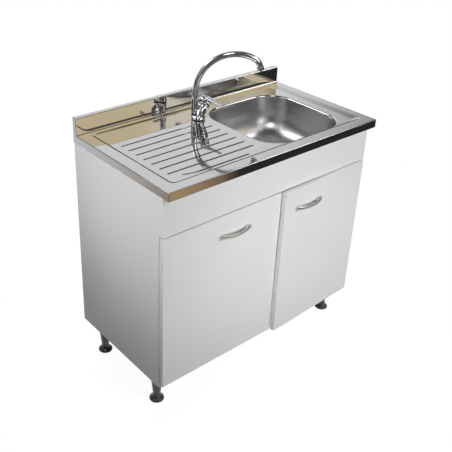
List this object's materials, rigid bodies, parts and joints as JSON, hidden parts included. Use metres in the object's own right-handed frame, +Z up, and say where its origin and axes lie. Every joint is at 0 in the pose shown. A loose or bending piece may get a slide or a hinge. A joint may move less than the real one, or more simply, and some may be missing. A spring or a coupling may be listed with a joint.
{
  "type": "kitchen sink unit",
  "caption": "Kitchen sink unit: white base cabinet with doors on adjustable legs, stainless steel top with drainer, bowl and upstand, swan-neck mixer tap, waste and trap.",
  "frame": {"origin": "on the floor, at the middle of the unit's footprint, handles included", "axes": "+Z up, +Y towards the wall behind the unit, +X to the user's right when facing the doors"},
  "size_m": [0.9, 0.5172, 1.0678],
  "materials": {
    "white_board": "white satin-gloss melamine on chipboard",
    "polished_steel": "mirror-polished stainless steel sheet",
    "satin_steel": "satin stainless steel",
    "chrome": "bright chrome plating",
    "satin_nickel": "satin nickel plating",
    "graphite_plastic": "dark graphite satin plastic",
    "timber": "bare softwood",
    "zinc_steel": "zinc or nickel plated pressed steel",
    "white_plastic": "white polypropylene",
    "rubber": "black rubber gasket"
  },
  "bodies": {
    "base": {"tap_body": "chrome", "tap_gasket": "rubber", "tap_washer": "zinc_steel", "tap_nut": "zinc_steel", "tap_inlet_hot": "zinc_steel", "tap_inlet_cold": "zinc_steel", "waste_body": "satin_steel", "waste_nut": "white_plastic", "trap_nut": "white_plastic", "trap_bottle": "white_plastic", "trap_cup": "white_plastic", "trap_outlet_nut": "white_plastic", "trap_outlet_pipe": "white_plastic", "sink_top": "polished_steel", "bowl": "satin_steel", "side_panel_left": "white_board", "side_panel_right": "white_board", "bottom_panel": "white_board", "back_rail_upper": "white_board", "back_rail_lower": "white_board", "fascia_panel": "white_board", "fascia_bracket_left": "zinc_steel", "fascia_bracket_right": "zinc_steel", "batten_front": "timber", "batten_back": "timber", "batten_left": "timber", "batten_right": "timber", "hinge_arm_left_lower": "zinc_steel", "hinge_arm_left_upper": "zinc_steel", "hinge_arm_right_lower": "zinc_steel", "hinge_arm_right_upper": "zinc_steel", "leg_column_front_left": "graphite_plastic", "leg_column_front_right": "graphite_plastic", "leg_column_back_left": "graphite_plastic", "leg_column_back_right": "graphite_plastic"},
    "door_left": {"door_left": "white_board", "handle_left": "satin_nickel", "hinge_cup_left_lower": "zinc_steel", "hinge_cup_left_upper": "zinc_steel"},
    "door_right": {"door_right": "white_board", "handle_right": "satin_nickel", "hinge_cup_right_lower": "zinc_steel", "hinge_cup_right_upper": "zinc_steel"},
    "spout": {"tap_spout": "chrome", "tap_aerator": "chrome"},
    "lever_stem": {"tap_stem": "chrome"},
    "lever": {"tap_lever": "chrome"},
    "strainer": {"strainer_basket": "satin_steel"},
    "foot_front_left": {"leg_foot_front_left": "graphite_plastic"},
    "foot_front_right": {"leg_foot_front_right": "graphite_plastic"},
    "foot_back_left": {"leg_foot_back_left": "graphite_plastic"},
    "foot_back_right": {"leg_foot_back_right": "graphite_plastic"}
  },
  "joints": [
    {"name": "door_left_hinge", "type": "hinge", "parent": "base", "child": "door_left", "pos_m": [-0.441, -0.20542, 0.398], "axis": [0, 0, -1], "range_deg": [0, 95]},
    {"name": "door_right_hinge", "type": "hinge", "parent": "base", "child": "door_right", "pos_m": [0.441, -0.20542, 0.398], "axis": [0, 0, 1], "range_deg": [-2.5, 92.5]},
    {"name": "spout_swivel", "type": "hinge", "parent": "base", "child": "spout", "pos_m": [-0.038, 0.14858, 0.9089], "axis": [0, 0, 1], "range_deg": [-169, 61]},
    {"name": "lever_turn", "type": "hinge", "parent": "base", "child": "lever_stem", "pos_m": [-0.038, 0.09677, 0.91111], "axis": [0, -0.4226, 0.9063], "range_deg": [-45, 45]},
    {"name": "lever_lift", "type": "hinge", "parent": "lever_stem", "child": "lever", "pos_m": [-0.038, 0.09677, 0.91111], "axis": [-1, 0, 0], "range_deg": [0, 25]},
    {"name": "strainer_lift", "type": "slide", "parent": "base", "child": "strainer", "axis": [0, 0, 1], "range_m": [0, 0.12]},
    {"name": "foot_front_left_adjust", "type": "slide", "parent": "base", "child": "foot_front_left", "axis": [0, 0, -1], "range_m": [0, 0.015]},
    {"name": "foot_front_right_adjust", "type": "slide", "parent": "base", "child": "foot_front_right", "axis": [0, 0, -1], "range_m": [0, 0.015]},
    {"name": "foot_back_left_adjust", "type": "slide", "parent": "base", "child": "foot_back_left", "axis": [0, 0, -1], "range_m": [0, 0.015]},
    {"name": "foot_back_right_adjust", "type": "slide", "parent": "base", "child": "foot_back_right", "axis": [0, 0, -1], "range_m": [0, 0.015]}
  ]
}
